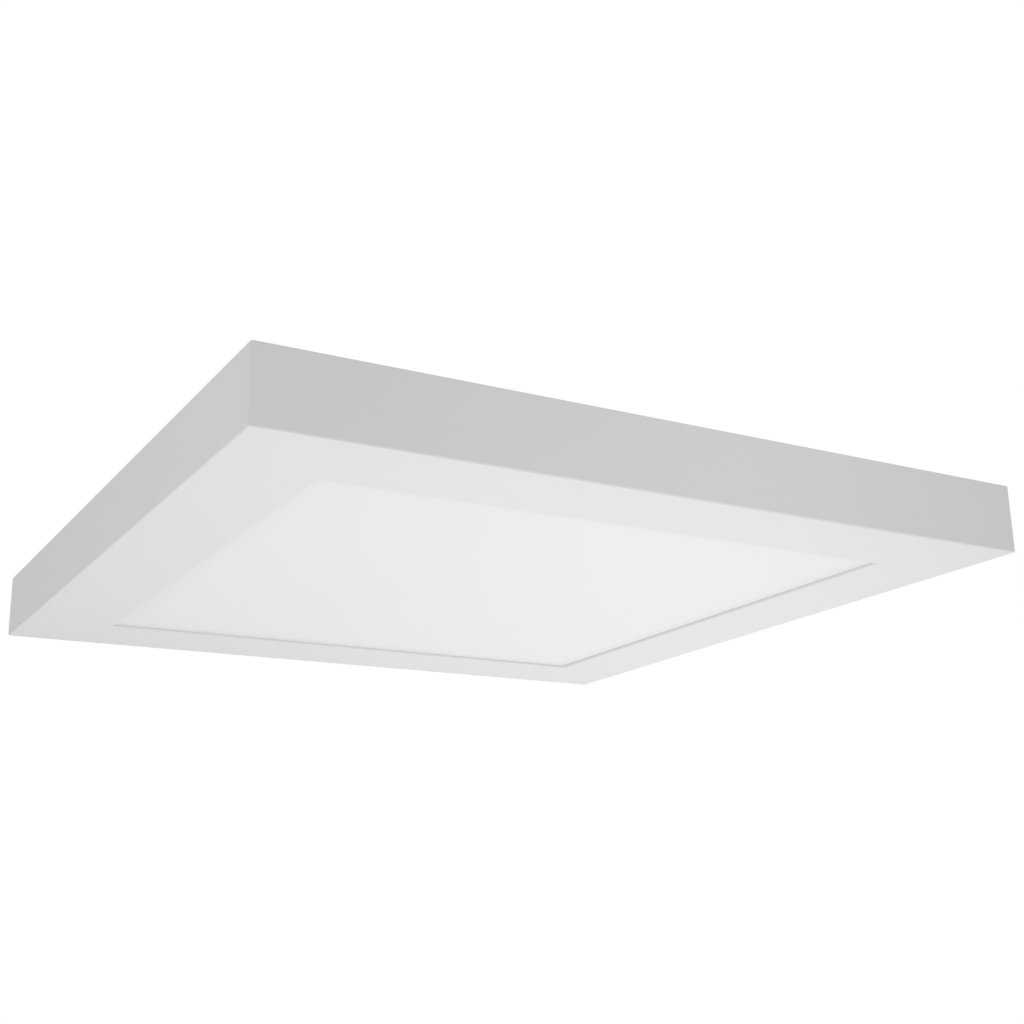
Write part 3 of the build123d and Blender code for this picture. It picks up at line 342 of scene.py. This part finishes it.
# The finish of each material slot
FINISHES = {
    "white_coat": powder_coat("white_coat", COAT_WHITE),
    "opal_acrylic": opal_diffuser("opal_acrylic", OPAL_WHITE, rough=0.42),
    "white_film": opal_sheet("white_film", FILM_WHITE, rough=0.55),
    "led_board": opal_sheet("led_board", BOARD_WHITE, rough=0.36),
    "led_package": opal_sheet("led_package", PHOSPHOR_YELLOW, rough=0.3),
    "clear_acrylic": clear_sheet("clear_acrylic", CLEAR_TINT),
    "thermal_tape": moulded_plastic("thermal_tape", TAPE_GREY, rough=0.7, depth=FINE_MOULD),
    "flex_film": moulded_plastic("flex_film", FILM_AMBER, rough=0.35, depth=SMOOTH_MOULD),
    "galvanised_steel": spangled_steel("galvanised_steel", STEEL_GREY),
    "zinc_screw": drawn_metal("zinc_screw", ZINC_LIGHT, EVEN, rough=0.34),
    "green_screw": coated_screw("green_screw", EARTH_GREEN),
    "spring_steel": drawn_metal("spring_steel", SPRING_GREY, ALONG_X, rough=0.32),
    "rivet_aluminium": drawn_metal("rivet_aluminium", ALUMINIUM_LIGHT, EVEN, rough=0.38),
    "driver_plastic": moulded_plastic("driver_plastic", DRIVER_WHITE, rough=0.52, depth=COARSE_MOULD),
    "circuit_board": moulded_plastic("circuit_board", MASK_GREEN, rough=0.36, depth=FINE_MOULD),
    "ferrite": moulded_plastic("ferrite", FERRITE_BLACK, rough=0.6, depth=MATT_MOULD),
    "winding_tape": moulded_plastic("winding_tape", WINDING_YELLOW, rough=0.35, depth=FINE_MOULD),
    "capacitor_sleeve": moulded_plastic("capacitor_sleeve", SLEEVE_BLACK, rough=0.3, depth=SMOOTH_MOULD),
    "chip_epoxy": moulded_plastic("chip_epoxy", EPOXY_BLACK, rough=0.55, depth=FINE_MOULD),
    "fuse_body": moulded_plastic("fuse_body", FUSE_BEIGE, rough=0.4, depth=SMOOTH_MOULD),
    "terminal_plastic": moulded_plastic("terminal_plastic", TERMINAL_GREY, rough=0.38, depth=FINE_MOULD),
    "button_orange": moulded_plastic("button_orange", BUTTON_ORANGE, rough=0.34, depth=SMOOTH_MOULD),
    "contact_brass": drawn_metal("contact_brass", BRASS_YELLOW, ALONG_X, rough=0.3),
    "tinned_lug": drawn_metal("tinned_lug", TIN_GREY, ALONG_Y, rough=0.36),
    "lead_black": lead_jacket("lead_black", LEAD_BLACK),
    "lead_white": lead_jacket("lead_white", LEAD_WHITE),
    "lead_green": lead_jacket("lead_green", LEAD_GREEN),
    "lead_red": lead_jacket("lead_red", LEAD_RED),
    "rubber_guard": moulded_plastic("rubber_guard", RUBBER_BLACK, rough=0.75, depth=COARSE_MOULD),
}

for entry in frame["record"]["subparts"]:
    for place in frame["nodes"][entry["node"]].material_slots:
        place.material = FINISHES[entry["material_slot"]]


def leaf_spring(pole):
    """The leaf spring of one pole, which the pole's button presses flatter."""
    name = "leaf_spring_" + pole
    button_low, button_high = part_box("button_" + pole)
    mesh = frame["nodes"]["terminal_springs"].data.copy()
    mesh.name = name
    shape = bmesh.new()
    shape.from_mesh(mesh)
    others = [corner for corner in shape.verts if not button_low.y < corner.co.y < button_high.y]
    bmesh.ops.delete(shape, geom=others, context="VERTS")
    shape.to_mesh(mesh)
    shape.free()
    spring = bpy.data.objects.new(name, mesh)
    bpy.context.scene.collection.objects.link(spring)
    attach(spring, "luminaire")
    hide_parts("terminal_springs")
    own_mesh(spring)


for pole in ("live", "earth", "neutral"):
    leaf_spring(pole)


def studio_mix(tree, lit, shown):
    """One shader for light, another for what the camera, metal and glass see."""
    path = tree.nodes.new("ShaderNodeLightPath")
    seen = path.outputs["Is Camera Ray"]
    for kind in ("Is Glossy Ray", "Is Transmission Ray"):
        either = tree.nodes.new("ShaderNodeMath")
        either.operation = "MAXIMUM"
        tree.links.new(seen, either.inputs[0])
        tree.links.new(path.outputs[kind], either.inputs[1])
        seen = either.outputs["Value"]
    mix = tree.nodes.new("ShaderNodeMixShader")
    tree.links.new(seen, mix.inputs["Fac"])
    tree.links.new(lit, mix.inputs[1])
    tree.links.new(shown, mix.inputs[2])
    return mix.outputs["Shader"]


def studio_world():
    """An even soft light that shows as plain white."""
    world = bpy.data.worlds.new("studio")
    bpy.context.scene.world = world
    world.use_nodes = True
    tree = world.node_tree
    lit = tree.nodes["Background"]
    lit.inputs["Color"].default_value = FULL_WHITE
    lit.inputs["Strength"].default_value = WORLD_LIGHT
    shown = tree.nodes.new("ShaderNodeBackground")
    shown.inputs["Color"].default_value = FULL_WHITE
    shown.inputs["Strength"].default_value = 1.0
    mixed = studio_mix(tree, lit.outputs["Background"], shown.outputs["Background"])
    tree.links.new(mixed, tree.nodes["World Output"].inputs["Surface"])


def studio_floor():
    """A plain pale floor well below the fixture, which hangs under a ceiling."""
    level = cad_low.z - FLOOR_DROP
    corners = [(x * FLOOR_HALF, y * FLOOR_HALF, level) for x, y in ((-1, -1), (1, -1), (1, 1), (-1, 1))]
    mesh = bpy.data.meshes.new("floor")
    mesh.from_pydata(corners, [], [(0, 1, 2, 3)])
    floor = bpy.data.objects.new("floor", mesh)
    bpy.context.scene.collection.objects.link(floor)
    made, tree, shader = new_material("floor", roughness=0.9)
    shader.inputs["Base Color"].default_value = (FLOOR_SHADE, FLOOR_SHADE, FLOOR_SHADE, 1.0)
    shader.inputs["Specular IOR Level"].default_value = 0.0
    glow = tree.nodes.new("ShaderNodeEmission")
    glow.inputs["Strength"].default_value = FLOOR_GLOW
    both = tree.nodes.new("ShaderNodeAddShader")
    tree.links.new(shader.outputs["BSDF"], both.inputs[0])
    tree.links.new(glow.outputs["Emission"], both.inputs[1])
    mixed = studio_mix(tree, shader.outputs["BSDF"], both.outputs["Shader"])
    tree.links.new(mixed, tree.nodes["Material Output"].inputs["Surface"])
    mesh.materials.append(made)


def in_radians(turn):
    """A turn about three axes, from degrees."""
    return [radians(angle) for angle in turn]


def studio_lamp(name, place, turn, size, power):
    """A soft box that the camera doesn't see."""
    lamp = bpy.data.lights.new(name, "AREA")
    lamp.shape = "RECTANGLE"
    lamp.size, lamp.size_y = size
    lamp.energy = power
    holder = bpy.data.objects.new(name, lamp)
    holder.location = place
    holder.rotation_euler = in_radians(turn)
    holder.visible_camera = False
    bpy.context.scene.collection.objects.link(holder)


def studio_lamps():
    """A long key below, from the near to the far corner, and a weak fill for each side that shows."""
    studio_lamp("key", KEY_PLACE, KEY_TURN, KEY_SIZE, KEY_POWER)
    studio_lamp("left_fill", LEFT_FILL_PLACE, LEFT_FILL_TURN, FILL_SIZE, LEFT_FILL_POWER)
    studio_lamp("right_fill", RIGHT_FILL_PLACE, RIGHT_FILL_TURN, FILL_SIZE, RIGHT_FILL_POWER)


def studio_camera():
    """The camera at the photograph's view."""
    lens = bpy.data.cameras.new("camera")
    lens.lens = CAMERA_LENS
    lens.shift_x = CAMERA_SHIFT
    camera = bpy.data.objects.new("camera", lens)
    camera.location = CAMERA_PLACE
    camera.rotation_euler = in_radians(CAMERA_TURN)
    bpy.context.scene.collection.objects.link(camera)
    bpy.context.scene.camera = camera


studio_world()
studio_floor()
studio_lamps()
studio_camera()
bpy.context.scene.view_settings.view_transform = "Standard"
